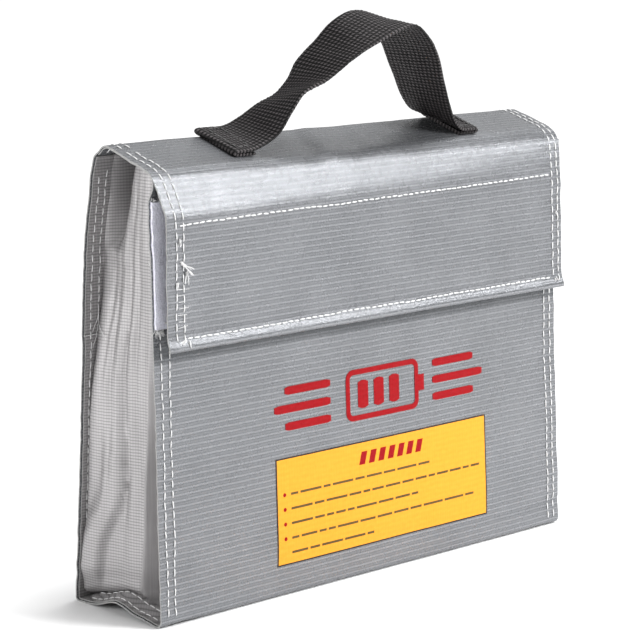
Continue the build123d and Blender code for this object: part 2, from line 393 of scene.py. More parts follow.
def make_thread(name, dark, light):
    """Twisted sewing thread, a little soiled."""
    shader = Shader(name, Roughness=0.62, Sheen_Weight=0.3)
    place = shader.place()
    wave = {"Vector": place, "Scale": 900.0, "Distortion": 3.0, "Detail": 2.0}
    twist = shader.node("TexWave", wave, "Fac", bands_direction="DIAGONAL")
    fibres = shader.noise(place, 3500.0, 2.0)
    shader.colour(shader.noise(place, 60.0, 2.0) * 0.5 + 0.3, dark, light)
    shader.relief(twist + fibres, 0.06)
    return shader.material


def make_fuzz(name, dark, light, spot_size, paleness):
    """Loop or hook tape: short fibres over a knitted ground, with painted light that makes it paler towards
    the bag's two ends.
    """
    end_light_from, end_light_to, painted_end_light = 12, 8, 0.6
    shader = Shader(name, Roughness=0.9, Sheen_Weight=0.5, Sheen_Roughness=0.4)
    place = shader.place()
    spots = shader.node("TexVoronoi", {"Vector": place, "Scale": 1 / (spot_size * MM)}, "Distance")
    fibres = shader.noise(place, 1800.0, 4.0, 0.7)
    tufts = spots * fibres
    from_middle = abs(shader.node("SeparateXYZ", {0: place}))
    # Painted light: near the bag's two ends the tape is painted paler, as if lit there.
    ends = from_middle.ramp((half_width - end_light_from) * MM, (half_width - end_light_to) * MM)
    shader.colour((tufts + fibres) * paleness + ends * painted_end_light, dark, light)
    shader.relief(fibres - tufts, 0.35)
    return shader.material


def make_webbing():
    """Black polypropylene webbing, with a painted highlight on the tops of its yarns and painted shade in the
    black gaps between them.
    """
    lean, top_highlight_power, top_highlight_tone, fibre_height = 0.5, 2.2, 1.6, 0.3
    shader = Shader("webbing_black", Roughness=0.5, Specular_IOR_Level=0.16)
    _, u, v = shader.cloth_place()
    row = shader.math("FLOOR", shader.math("DIVIDE", v, weave_row))
    across_rows = shader.math("SINE", v * (math.pi / weave_row))
    shifted = v * lean + (row * (weave_column / 2) + u)
    across_yarns = shader.math("SINE", shifted * (math.pi / weave_column))
    tops = abs(across_rows) * abs(across_yarns)
    fibres = shader.noise(shader.place(), 2500.0)
    # Painted highlight: the yarn tops are painted paler than the near-black gaps between them.
    shader.colour(tops**top_highlight_power * fibres * top_highlight_tone, grey(0.001), grey(0.11, (1, 0.9, 0.93)))
    shader.relief(fibres * fibre_height + tops, 0.25)
    return shader.material


def make_ink(name, dark, light):
    """Screen-printed ink: it follows the ribs and yarns of the cloth, and is blotchy."""
    rib_pitch, yarn_pitch, rib_height, yarn_height = 2.4, 1.5, 0.3, 0.15
    shader = Shader(name, Roughness=0.5, Specular_IOR_Level=0.1)
    place, u, v = shader.cloth_place()
    wander = shader.noise(place, 0.11, 2.0) - 0.5
    height = waves(v, rib_pitch, wander, 0.9) * rib_height + 0.5
    height = waves(u, yarn_pitch, wander, 0.7) * yarn_height + height
    shader.colour(height * 0.25 + shader.noise(place, 0.5, 4.0) * 0.8, dark, light)
    shader.relief(height, 0.07)
    return shader.material


front_cloth = make_cloth(
    "cloth_silver",
    row_pitch=1.2,
    tick_pitch=1.05,
    tick_share=0.5,
    lean=0.9,
    pairing=0.4,
    contrast=1.15,
    dark=grey(0.07, (0.93, 1.0, 1.08)),
    light=grey(0.27, (0.965, 0.985, 1.04)),
    rough=(0.2, 0.36),
    depth=0.03,
    # The length down the front where the flap's lower edge stands; the painted shadow lies just below it.
    flap_shadow_at=front_high[2] + mouth_rise - flap_low[2],
)
gusset_fabric = make_cloth(
    "cloth_silver_side",
    row_pitch=1.25,
    tick_pitch=1.6,
    tick_share=0.25,
    lean=0.0,
    pairing=0.0,
    contrast=0.9,
    dark=grey(0.11, (1.02, 1, 1.01)),
    light=grey(0.42, (1.02, 0.99, 1.0)),
    rough=(0.4, 0.55),
    depth=0.04,
)
cloth_materials = [front_cloth, make_cut_edge()]
gusset_materials = [gusset_fabric, cloth_materials[1]]
white_thread = make_thread("thread_white", grey(0.45), grey(0.84))
black_thread = make_thread("thread_black", grey(0.004), grey(0.03))
loop_colours = grey(0.1, (0.94, 0.94, 1.16)), grey(0.92, (0.96, 0.96, 1.08))
loop_fuzz = make_fuzz("tape_loops", *loop_colours, spot_size=0.7, paleness=0.42)
hook_colours = grey(0.06), grey(0.62, (0.97, 0.97, 1.05))
hook_fuzz = make_fuzz("tape_hooks", *hook_colours, spot_size=1.2, paleness=0.55)
webbing_black = make_webbing()
red_ink = make_ink("ink_red", (0.2, 0.001, 0.003, 1), (0.3, 0.002, 0.006, 1))
yellow_ink = make_ink("ink_yellow", (0.65, 0.255, 0.018, 1), (0.79, 0.335, 0.033, 1))
black_ink = make_ink("ink_black", grey(0.006), grey(0.03))
text_ink = make_ink("ink_text", (0.05, 0.035, 0.012, 1), (0.13, 0.09, 0.03, 1))

# ---- The skin: one long cloth ----
# Corners (y, z) of its side profile at the left end and the right end, with how far each is rounded off.
front_top_y = front_high[1] - cad_cloth
mouth_z = front_high[2] + mouth_rise
SKIN = {
    "mouth": ((front_top_y + 0.1, mouth_z), (front_top_y + 2.2, mouth_z), 0, 0),
    "front_middle": ((-21.7, 112), (-18.3, 112), 34, 34),
    "front_bottom": ((front_low[1] - 0.4, 0), (front_low[1] - 0.6, 0), 3.6, 3.6),
    "back_bottom": ((back_high[1], 0), (back_high[1] - 0.2, 0), 3.0, 3.0),
    "back_low": ((25.1, 77), (25.6, 77), 30, 30),
    "back_bend": ((22.9, 143), (22.3, 143), 22, 22),
    "back_top": ((hinge_y + 0.9, hinge_z - 0.7), (hinge_y + 0.2, hinge_z - 0.4), 3.0, 3.4),
    "lid_back": ((7.7, lid_high[2]), (9.2, lid_high[2] - 0.3), 3.2, 4.5),
    "crease": ((lid_low[1] - 0.1, crease_z), (lid_low[1] + 0.8, crease_z + 0.8), 2.6, 9.5),
    "shoulder_foot": ((flap_low[1] - 0.9, 164.6), (flap_low[1] + 3.6, 166.5), 1.8, 7.5),
    "flap_bottom": ((flap_low[1] - 1.0, flap_low[2]), (flap_low[1] + 1.7, flap_low[2]), 0, 0),
}
knot_values = lengths_along([np.mean(corner[:2], axis=0) for corner in SKIN.values()])
knots = dict(zip(SKIN, knot_values))
split = knots["lid_back"] + 9.0
skin_end = knots["flap_bottom"]


def rounded_paths(s, share):
    """Points (y, z) at the lengths s along the skin, for each share of the way from left to right."""
    lefts = np.array([value[0] for value in SKIN.values()])
    rights = np.array([value[1] for value in SKIN.values()])
    corners = lefts[:, None] * (1 - share)[None, :, None] + rights[:, None] * share[None, :, None]
    reach_ends = np.array([value[2:] for value in SKIN.values()], float)
    reaches = reach_ends[:, :1] * (1 - share) + reach_ends[:, 1:] * share
    points = np.empty((len(share), len(s), 2))
    last = len(knot_values) - 1
    for i, length in enumerate(s):
        k = int(np.clip(np.searchsorted(knot_values, length) - 1, 0, last - 1))
        step = (length - knot_values[k]) / (knot_values[k + 1] - knot_values[k])
        points[:, i] = corners[k] * (1 - step) + corners[k + 1] * step
        for c in (k, k + 1):
            if not 0 < c < last:
                continue
            reach = np.maximum(reaches[c], 1e-6)
            inside = abs(length - knot_values[c]) < reach
            before = (reach / (knot_values[c] - knot_values[c - 1]))[:, None]
            after = (reach / (knot_values[c + 1] - knot_values[c]))[:, None]
            start = corners[c] + before * (corners[c - 1] - corners[c])
            end = corners[c] + after * (corners[c + 1] - corners[c])
            t = ((length - knot_values[c] + reach) / (2 * reach))[:, None]
            curve = (1 - t) ** 2 * start + 2 * t * (1 - t) * corners[c] + t * t * end
            points[:, i] = np.where(inside[:, None], curve, points[:, i])
    return points


class Skin:
    """A grid of cloth points over x and s, that can be read anywhere between them."""

    def __init__(self, x, s, points):
        self.x, self.s, self.points = x, s, points
        self.normals = grid_normals(points)

    def read(self, values, x, s):
        """Values given at the grid's points, read between them."""
        i = np.clip(np.searchsorted(self.x, x) - 1, 0, len(self.x) - 2)
        j = np.clip(np.searchsorted(self.s, s) - 1, 0, len(self.s) - 2)
        a = ((x - self.x[i]) / (self.x[i + 1] - self.x[i]))[..., None]
        b = ((s - self.s[j]) / (self.s[j + 1] - self.s[j]))[..., None]
        low = values[i, j] * (1 - a) + values[i + 1, j] * a
        high = values[i, j + 1] * (1 - a) + values[i + 1, j + 1] * a
        return low * (1 - b) + high * b

    def normal(self, x, s):
        x, s = np.broadcast_arrays(np.asarray(x, float), np.asarray(s, float))
        return unit(self.read(self.normals, x, s))

    def at(self, x, s, lift=0.0):
        """Places on the cloth, or that far out from its outer face."""
        x, s = np.broadcast_arrays(np.asarray(x, float), np.asarray(s, float))
        lift = np.broadcast_to(lift, x.shape)[..., None]
        return self.read(self.points, x, s) + lift * self.normal(x, s)


# Waves in the foot at the left and the right end of the bag: (height, place along Y, width).
FOOT_WAVES = (((4.4, 3.5, 10.5), (0.9, -13, 6)), ((3.6, 9, 9), (1.8, -9, 8)))


def base_wave(x, y):
    """How far the base's ends lift off the floor, between its corners."""
    crown_height, foot_middle = 2.6, 2.5
    left, right = (sum(height * bump(at, width, y) for height, at, width in end) for end in FOOT_WAVES)
    rise = np.where(x < 0, left, right) * smoothstep(94, 112, abs(x))
    crown = crown_height * smoothstep(90, 107, abs(x)) * (1 - smoothstep(110, 119, abs(x)))
    return rise + crown * smoothstep(28, 18, abs(y - foot_middle))


def seam_share(x):
    """1 on the sewn seams along the two ends of the bag, 0 between them."""
    return smoothstep(half_width - 16, half_width - 8, abs(x))


def skin_push(x, s):
    """How far the cloth is pushed out of its side profile: its sag, puckers, dents and wavy rim."""
    front_belly, back_belly, foot_groove, foot_step = 0.9, 1.1, 0.4, 0.5
    seam_pucker, flap_wave, rim_flare = 0.32, 0.5, 1.5
    lid_folds = ((-46, 7, -0.5), (-22, 5, -0.7), (-12, 4, 0.45), (4, 7, -0.6), (40, 9, -0.4))
    front_end, back_start, back_end = knots["front_bottom"], knots["back_bottom"], knots["back_top"]
    crown = 1 - (abs(x) / half_width) ** 2
    push = 0.42 * smooth_noise(x, s, 62, 1) + 0.13 * smooth_noise(x, s, 17, 2)
    on_front = smoothstep(front_end, front_end - 25, s)
    on_back = smoothstep(back_start, back_start + 40, s) * smoothstep(back_end, back_end - 50, s)
    push += front_belly * crown * on_front * smoothstep(0, 50, s)
    push += back_belly * crown * on_back * (1 + smooth_noise(x, s, 80, 3))
    foot_line = front_end - 12 + 1.2 * smooth_noise(x, 0, 60, 18)
    push -= foot_groove * bump(foot_line, 1.3, s)
    push -= foot_step * smoothstep(foot_line, foot_line + 9, s) * on_front
    push += seam_pucker * seam_share(x) * smooth_noise(x * 0.3, s, 7.5, 4)
    on_base = smoothstep(front_end - 3, front_end + 2, s) * smoothstep(back_start + 3, back_start - 2, s)
    push *= 1 - on_base
    on_lid = smoothstep(knots["lid_back"] - 2, knots["lid_back"] + 4, s)
    on_lid *= smoothstep(knots["crease"] + 6, knots["crease"] - 5, s)
    for centre, width, depth in lid_folds:
        push += depth * bump(centre, width, x + 0.35 * (s - knots["lid_back"])) * on_lid
    on_flap = smoothstep(knots["shoulder_foot"] - 4, knots["shoulder_foot"] + 8, s)
    push += flap_wave * on_flap * smooth_noise(x, s * 0.4, 38, 5)
    return push + rim_flare * smoothstep(skin_end - 5.5, skin_end - 0.5, s)


def make_skin():
    """The whole cloth: its side profile, pushed in and out, on a foot that isn't quite flat."""
    ragged_edge, edge_inset, mouth_curl, end_reach = 0.28, 0.25, 3.2, 15
    x_steps, s_steps = (2.5, 1.1), (1.9, 0.7)
    x = dense_samples(-half_width, half_width, *x_steps, [(-half_width, end_reach), (half_width, end_reach)])
    spots = [(knots[name], 6) for name in ("front_bottom", "back_bottom", "back_top", "lid_back")]
    spots += [(knots["crease"], 9), (knots["shoulder_foot"], 6), (skin_end, 3)]
    s = dense_samples(0, skin_end, *s_steps, spots)
    s[np.argmin(abs(s - split))] = split
    grid_x, grid_s = np.meshgrid(x, s, indexing="ij")
    narrowing = smoothstep(knots["crease"] - 4, knots["shoulder_foot"], grid_s)
    points = np.empty((len(x), len(s), 3))
    points[..., 0] = grid_x * (1 - narrowing * (1 - flap_half_width / half_width))
    points[..., 1:] = rounded_paths(s, (x + half_width) / (2 * half_width))
    points += skin_push(grid_x, grid_s)[..., None] * grid_normals(points)
    lift = base_wave(points[..., 0], points[..., 1]) * smoothstep(16, 2, points[..., 2])
    points[..., 2] = np.maximum(points[..., 2], 0) + lift
    side = np.sign(grid_x)
    ragged = ragged_edge * smooth_noise(grid_s, side * 40, 4.5, 6)
    points[..., 0] += side * seam_share(grid_x) * (ragged - edge_inset)
    mouth_ends = smoothstep(half_width - 8, half_width, abs(grid_x)) * smoothstep(9, 1, grid_s)
    points[..., 1] -= mouth_curl * mouth_ends
    return Skin(x, s, points)


skin = make_skin()
front_rows = skin.s < knots["front_bottom"]
front_z = skin.points[len(skin.x) // 2, front_rows, 2][::-1]
front_s = skin.s[front_rows][::-1]


def front_length_at(z):
    """How far down the skin a height on the front panel is."""
    return np.interp(z, front_z, front_s)


def steps_between(first, last, step=1.5):
    return np.linspace(first, last, max(2, int(abs(last - first) / step)))


# ---- Cloth over the hinge and the crease, baked in place ----
def blend_across(piece):
    """Bakes the piece's place into its points; it is not bent from one body to the next."""
    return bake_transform(piece)


def at_hinge(piece):
    """Cloth that passes over the lid's hinge."""
    return blend_across(piece)


def at_crease(piece):
    """Cloth that passes over the crease between the lid and the flap."""
    centre, along = np.array([0, lid_low[1] + 1.0, crease_z - 1.0]), np.array([0, -0.72, -0.69])
    return blend_across(piece)


def finish_piece(piece, nodes=(), body=None):
    """Hides the CAD nodes a piece stands for and, if a body is given, attaches the piece to it."""
    if body:
        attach(piece, body)
    if nodes:
        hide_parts(*nodes)
    return piece


# ---- Cloth along the skin ----
def skin_piece(name, first, last, rows_after=None):
    """The skin between two lengths, as a closed cloth, with any rows that follow it."""
    chosen = (skin.s >= first - 1e-6) & (skin.s <= last + 1e-6)
    top = skin.points[:, chosen]
    bottom = top - cloth * skin.normals[:, chosen]
    uv = np.stack(np.meshgrid(skin.x, skin.s[chosen], indexing="ij"), -1)
    if rows_after is not None:
        grids = zip((top, bottom, uv), rows_after)
        top, bottom, uv = (np.concatenate(pair, axis=1) for pair in grids)
    return solid_grid(name, top, bottom, uv, cloth_materials)


def make_turn_in():
    """The rows of the flap's cloth that fold up behind it, from its lower edge."""
    fold_room, height, narrower = 0.15, 51.0, 0.085
    fold_inner, fold_rows, flat_rows = 0.12, 8, 28
    reach = hem + cloth + fold_room
    columns = skin.x
    end = skin.at(columns, skin_end)
    normal = skin.normal(columns, skin_end)
    down = np.array([0.0, 0.0, -1.0])
    tops, bottoms, lengths = [], [], []
    for turn in np.linspace(0, math.pi, fold_rows)[1:]:
        centre = end - normal * reach / 2
        arm = math.cos(turn) * normal + math.sin(turn) * down
        tops.append(centre + arm * reach / 2)
        bottoms.append(centre + arm * fold_inner)
        lengths.append(skin_end + turn)
    for step in np.linspace(0, 1, flat_rows)[1:]:
        s = skin_end - step * height
        squeezed = columns * (1 - narrower * smoothstep(0, 0.06, step))
        tops.append(skin.at(squeezed, s, -reach))
        bottoms.append(skin.at(squeezed, s, -reach + hem))
        lengths.append(skin_end + step * height)
    uv = np.stack(np.meshgrid(columns, lengths, indexing="ij"), -1)
    return np.stack(tops, 1), np.stack(bottoms, 1), uv


def layer(name, x_values, s_values, faces, materials, shift=0.0):
    """A strip along the skin, between two offsets from the skin's outer face."""
    grid_x, grid_s = np.meshgrid(x_values, s_values, indexing="ij")
    wobble = shift * smooth_noise(grid_x, grid_s, 2.2, 9) if shift else 0.0
    top = skin.at(grid_x, grid_s, faces[0] + wobble)
    bottom = skin.at(grid_x, grid_s, faces[1])
    return solid_grid(name, top, bottom, np.stack([grid_x, grid_s], -1), materials)


def make_body_cloth():
    """The front, the bottom and the back, up to just over the lid's hinge."""
    piece = skin_piece("body_cloth", 0, split)
    at_hinge(piece)
    return finish_piece(piece, ["front_panel", "bottom_panel", "back_panel"])


def make_cover_cloth():
    """The lid and the flap, with the cloth turned in behind the flap."""
    piece = skin_piece("cover_cloth", split, skin_end, make_turn_in())
    at_crease(piece)
    return finish_piece(piece, ["lid_panel", "flap_panel", "flap_turn_in"])


def make_mouth_hem():
    """The turned edge along the mouth, inside the front."""
    x = np.linspace(-gusset_x + 2, gusset_x - 2, 90)
    piece = layer("mouth_hem", x, np.linspace(0.2, 13, 12), hem_faces, cloth_materials)
    finish_piece(piece, ["front_mouth_hem"], "bag_body")


def make_cover_hem(side, side_name):
    """The turned edge along one end of the lid and the flap."""
    x = np.sort(side * np.linspace(gusset_x, half_width - 0.5, 9))
    s = skin.s[(skin.s > knots["back_top"] + 2.6) & (skin.s < skin_end - 1.5)]
    piece = layer(f"cover_hem_{side_name}", x, s, hem_faces, cloth_materials)
    at_crease(piece)
    finish_piece(piece, [f"lid_hem_{side_name}", f"flap_hem_{side_name}"])


body_cloth = make_body_cloth()
cover_cloth = make_cover_cloth()
make_mouth_hem()
for side, side_name in SIDES:
    make_cover_hem(side, side_name)


# ---- Gussets ----
# Soft upright folds in a side cloth: (share of the way to the back, width, height in mm, lean).
SIDE_FOLDS = (
    (0.47, 0.02, 0.7, 0.04),
    (0.54, 0.022, -0.5, 0.02),
    (0.60, 0.018, 0.75, -0.03),
    (0.68, 0.02, -0.4, 0.05),
    (0.75, 0.018, 0.55, 0.03),
    (0.84, 0.02, 0.4, 0.0),
)


def tuck_line(z, side):
    """Where the side cloth folds in beside the front seam, as a share of the way to the back."""
    return 0.44 - 0.001 * z + 0.012 * smooth_noise(z, side * 11, 25, 15)


def gusset_depth(a, z, side):
    """How far the side cloth is pushed in from the seams, a share a of the way from front to back."""
    set_in, back_pinch, front_pinch, tuck_depth, upper_hollow = 2.0, 22.0, 9.0, 10.5, 1.0
    foot_bulge, back_bulge, step_bulge, ripple = 1.5, 6.8, 3.4, 0.3
    top = np.clip((z - 146) / 34, 0, 1.05)
    depth = set_in * top * smoothstep(0, 0.1, a) * smoothstep(1.0, 0.93, a)
    depth += back_pinch * top * bump(0.87, 0.09, a) * smoothstep(1.0, 0.955, a)
    depth += front_pinch * top * bump(0.2, 0.12, a) * smoothstep(0, 0.07, a)
    pocket = np.clip((tuck_line(z, side) - a) / 0.13, 0, 1) * smoothstep(0, 0.2, a)
    depth += tuck_depth * smoothstep(145, 45, z) * pocket
    depth += upper_hollow * smoothstep(0, 0.12, a) * smoothstep(1, 0.85, a) * smoothstep(90, 140, z)
    depth -= foot_bulge * np.exp(-z / 70) * bump(0.5, 0.1, a)
    back_root = smoothstep(1.0, 0.965, a)
    depth -= back_bulge * smoothstep(150, 70, z) * back_root * smoothstep(0.35, 0.97, a)
    line = 0.58 + 0.2 * smoothstep(56, 20, z) + 0.02 * smooth_noise(z, side * 8, 12, 16)
    step = smoothstep(-0.03, 0.015, a - line) * smoothstep(0.3, 0.1, a - line)
    depth -= step_bulge * step * smoothstep(84, 52, z) * smoothstep(6, 16, z) * back_root
    wander = 0.05 * smooth_noise(z, side * 30, 40, 11)
    for centre, width, amount, lean in SIDE_FOLDS:
        fold_line = centre + wander + lean * (z / 180 - 0.5)
        fold = bump(fold_line, width, a) * smoothstep(14, 60, z) * smoothstep(182, 160, z)
        depth += amount * fold * (0.6 + 0.6 * smooth_noise(z, centre * 90, 45, 17))
    return depth + ripple * smooth_noise(a * 55, z * 0.3, 9, 12 + side) * smoothstep(0, 0.1, a)


def weld_and_thicken(piece, thickness, near_seam):
    """Joins the patches of a sheet along their shared edges, softens the folds and gives it thickness."""
    softened, soft_reach, weld_reach = 3, 2.4, 0.02
    sheet = bmesh.new()
    sheet.from_mesh(piece.data)
    bmesh.ops.remove_doubles(sheet, verts=sheet.verts, dist=weld_reach * MM)
    bmesh.ops.recalc_face_normals(sheet, faces=sheet.faces)
    inner = [v for v in sheet.verts if not v.is_boundary]
    folds = [v for v in inner if abs(abs(v.co.x) / MM - gusset_x) < soft_reach and near_seam(v.co)]
    axes = {f"use_axis_{axis}": True for axis in "xyz"}
    for _ in range(softened):
        bmesh.ops.smooth_vert(sheet, verts=folds, factor=0.5, **axes)
    sheet.to_mesh(piece.data)
    sheet.free()
    modifier = piece.modifiers.new("thickness", "SOLIDIFY")
    modifier.thickness = thickness * MM
    modifier.offset = 0
    modifier.material_offset_rim = 1
    with bpy.context.temp_override(object=piece, active_object=piece):
        bpy.ops.object.modifier_apply(modifier=modifier.name)
    piece.data.polygons.foreach_set("use_smooth", [True] * len(piece.data.polygons))
    piece.data.set_sharp_from_angle(angle=math.radians(60))


def gusset_patches(side):
    """The parts of a side cloth, as grids of points, each with its shift on the flat cloth: its web in
    two parts, set in from the bag's end, and the three edges sewn to the skin. Also its two long seams."""
    web_height, base_fade, edge_fade, tuck_at, rows = 178, 14, 4.5, 0.4, 112
    middle = under_cloth - gusset_cloth / 2
    web_x = side * gusset_x
    s_front = np.linspace(2.0, knots["front_bottom"] - 0.5, rows)[::-1]
    s_back = np.linspace(knots["back_bottom"] + 0.5, knots["back_top"] + 1.2, rows)
    even = dense_samples(0, 1, 0.016, 0.01, [(0.95, 0.06), (0.05, 0.06), (tuck_at, 0.03)])
    fold = np.argmin(abs(even - tuck_at))
    front = skin.at(web_x, s_front, middle)
    back = skin.at(web_x, s_back, middle)
    line = tuck_line(front[:, 2], side)[:, None]
    before, after = even / even[fold] * line, 1 - (1 - even) / (1 - even[fold]) * (1 - line)
    across = np.where(even <= even[fold], before, after)
    base_length = knots["back_bottom"] - knots["front_bottom"] + 1.0
    s_base = knots["front_bottom"] - 0.5 + across[0] * base_length
    web = front[:, None] * (1 - across)[..., None] + back[:, None] * across[..., None]
    base = skin.at(web_x, s_base, middle)
    height = np.linspace(0, web_height, rows)
    web = web + (base - web[0])[None] * np.exp(-height / base_fade)[:, None, None]
    depth = gusset_depth(across, web[..., 2], side)
    web[..., 0] -= side * depth * smoothstep(0, edge_fade, height)[:, None]
    patches = [(web[:, : fold + 1], tuck_shift), (web[:, fold:], 0)]
    allowance = side * np.linspace(gusset_x, half_width - 0.9, 9)
    for s_line in (s_front, s_base, s_back):
        grid_s, grid_x = np.meshgrid(s_line, allowance, indexing="ij")
        patches.append((skin.at(grid_x, grid_s, middle), 0))
    return patches, front, back


def make_gusset(side, side_name):
    """A side cloth: one thin sheet welded from its parts."""
    seam_reach, foot_reach = 3.5, 4
    patches, front, back = gusset_patches(side)
    parts, uvs = [], []
    for points, shift in patches:
        parts.append((points.reshape(-1, 3), grid_quads(*points.shape[:2])[0].tolist()))
        run = points[..., 1] + abs(points[..., 0]) + shift
        uvs.append(np.stack([run, points[..., 2]], -1).reshape(-1, 2))
    points, faces = join_parts(parts)
    piece = make_mesh(f"gusset_{side_name}", points, faces, gusset_materials, np.concatenate(uvs))

    def near_seam(point):
        y, z = point.y / MM, point.z / MM
        room = min(y - np.interp(z, front[:, 2], front[:, 1]), np.interp(z, back[:, 2], back[:, 1]) - y)
        return room < seam_reach or z < foot_reach

    weld_and_thicken(piece, gusset_cloth, near_seam)
    nodes = [f"{side_name}_gusset", f"{side_name}_gusset_hem"]
    return finish_piece(piece, nodes, "bag_body")


gussets = [make_gusset(side, side_name) for side, side_name in SIDES]


# ---- Tapes ----
def make_loop_tape():
    """The wide fuzzy tape on the front, a little wider than its CAD slab where its ends fray."""
    left, right = loop_low[0], loop_high[0]
    past_left, past_right, rows = 1.2, 0.6, 64
    x = dense_samples(left - past_left, right + past_right, 1.6, 0.5, [(left, 13), (right, 8)])
    s = front_length_at(np.linspace(loop_high[2], loop_low[2], rows))
    piece = layer("loop_tape_pile", x, s, (loop_height, 0.0), [loop_fuzz], shift=0.2)
    finish_piece(piece, ["loop_tape"], "bag_body")


def make_hook_tape():
    """The tape behind the flap, on the cloth that is turned in there."""
    x = dense_samples(hook_low[0], hook_high[0], 1.6, 1.0, [])
    s = np.linspace(skin_end - 50, skin_end - 2.2, 48)
    piece = layer("hook_tape_pile", x, s, (-cloth - hem - 0.3, -cloth - hem - 1.55), [hook_fuzz])
    finish_piece(piece, ["hook_tape"], "flap")


make_loop_tape()
make_hook_tape()

# ---- Stitching ----
stitch_rings = np.array([-1.0, -0.86, -0.5, 0.0, 0.5, 0.86, 1.0])
stitch_radii = np.array([0.25, 0.75, 1.0, 1.05, 1.0, 0.75, 0.25])
stitch_sides = 6
stitch_faces = [face[::-1] for face in ring_faces(len(stitch_rings), stitch_sides)]


def stitches(line, normals, rng, pitch=4.0, gap=0.75, width=0.3, height=0.2):
    """A row of separate stitches along a line of points on a face."""
    yaw_share, stray, sunk, arch = 0.09, 0.12, 0.1, 0.16
    steps = lengths_along(line)
    turn = 2 * np.pi * np.arange(stitch_sides) / stitch_sides
    flat = (stitch_radii[:, None] * np.cos(turn))[..., None] * width
    upright = (stitch_radii[:, None] * np.sin(turn))[..., None] * height
    parts = []
    at = rng.uniform(0, pitch * 0.3)
    while at + pitch - gap < steps[-1]:
        span = (pitch - gap) * rng.uniform(0.9, 1.06)
        places = at + span * (stitch_rings + 1) / 2
        centre = np.stack([np.interp(places, steps, line[:, k]) for k in range(3)], -1)
        up = unit(np.stack([np.interp(places, steps, normals[:, k]) for k in range(3)], -1))
        side = np.cross(unit(centre[-1] - centre[0]), up)
        yaw = rng.uniform(-yaw_share, yaw_share) * span
        sideways = rng.uniform(-stray, stray) + yaw * stitch_rings / 2
        rise = sunk + arch * (1 - stitch_rings**2)
        middle = centre + side * sideways[:, None] + up * rise[:, None]
        rings = middle[:, None] + flat * side[:, None] + upright * up[:, None]
        parts.append((rings.reshape(-1, 3), stitch_faces))
        at += pitch * rng.uniform(0.96, 1.04)
    return parts


def skin_row(x, s, lift, rng, **shape):
    """A row of stitches on the skin's outer face, or on its inner side when lift is negative."""
    x, s = np.broadcast_arrays(np.asarray(x, float), np.asarray(s, float))
    facing = 1 if lift >= 0 else -1
    return stitches(skin.at(x, s, lift), facing * skin.normal(x, s), rng, **shape)


def thread_piece(name, parts, nodes, body=None, bend=None, material=white_thread, slot="white_thread"):
    """All the stitches or loose threads that make one piece, on a body if one is given."""
    piece = make_mesh(name, *join_parts(parts), [material])
    if bend:
        bend(piece)
    return finish_piece(piece, nodes, body)


def wavering(x, s, seed, amount=0.35):
    """The x of a sewn row that wanders a little."""
    return x + amount * smooth_noise(s, 0, 30, seed)


def end_seams(rng):
    """The double rows along both ends of the bag, sorted by the piece they belong to."""
    rows = {name: [] for name in ("front", "base", "back", "hinge", "cover")}
    front_end, back_start, back_end = knots["front_bottom"], knots["back_bottom"], knots["back_top"]
    stretches = (
        ("front", front_length_at(loop_low[2]) + 1, front_end - 3, (0.0,)),
        ("front", 3, front_end - 6, (under_gusset,)),
        ("base", front_end + 5, back_start - 5, (under_gusset, 0.0)),
        ("back", back_start + 6, back_end - 4.5, (0.0, under_gusset)),
        ("hinge", back_end - 4.5, split, (0.0,)),
    )
    for side in (-1, 1):
        cover_rows = (4.5, 8.5) if side < 0 else (3.0, 6.5)
        for row, distance in enumerate(seam_rows):
            x = side * (half_width - distance)
            seed = 20 + row + 5 * side
            for name, first, last, lifts in stretches:
                s = steps_between(first, last)
                for lift in lifts:
                    rows[name] += skin_row(wavering(x, s, seed), s, lift, rng)
            cover_x = side * (half_width - cover_rows[row])
            s = steps_between(split + 0.5, skin_end - 1.5)
            row_x = x + (cover_x - x) * smoothstep(split, knots["crease"], s)
            rows["cover"] += skin_row(wavering(0, s, seed, 0.6) + row_x, s, 0.0, rng)
            s = steps_between(back_end + 3, knots["crease"] - 1)
            rows["cover"] += skin_row(wavering(x, s, seed), s, under_gusset, rng)
    return rows


def make_seams():
    """Every white stitch: along the ends, the flap, the mouth and the loop tape."""
    rng = random.Random(7)
    rows = end_seams(rng)
    ends = flap_half_width - 8.5
    for s_row, seed, reach in ((skin_end - 4.3, 31, 1.0), (knots["shoulder_foot"] + 3.2, 32, 4.6)):
        x = steps_between(-ends - reach, ends + 3.0)
        s = s_row + 0.4 * smooth_noise(x, 0, 35, seed)
        rows["cover"] += skin_row(x, s, 0.0, rng, pitch=3.4, gap=0.5)
    for name, node in (("front", "front"), ("base", "bottom"), ("back", "back")):
        thread_piece(f"{name}_seam_thread", rows[name], [f"{node}_seam_stitches"], "bag_body")
    thread_piece("hinge_seam_thread", rows["hinge"], [], bend=at_hinge)
    thread_piece("cover_seam_thread", rows["cover"], ["lid_stitches", "flap_stitches"], bend=at_crease)
    mouth_row, tape_row = 3.2, 2.5
    mouth = skin_row(steps_between(-gusset_x, gusset_x), mouth_row, 0.0, rng)
    thread_piece("mouth_thread", mouth, ["mouth_stitches"], "bag_body")
    tape = []
    for z in (loop_low[2] + tape_row, loop_high[2] - tape_row):
        x = steps_between(loop_low[0] + 3, loop_high[0] - 3)
        tape += skin_row(x, front_length_at(z), loop_height, rng)
    thread_piece("loop_tape_thread", tape, ["loop_tape_stitches"], "bag_body")


make_seams()


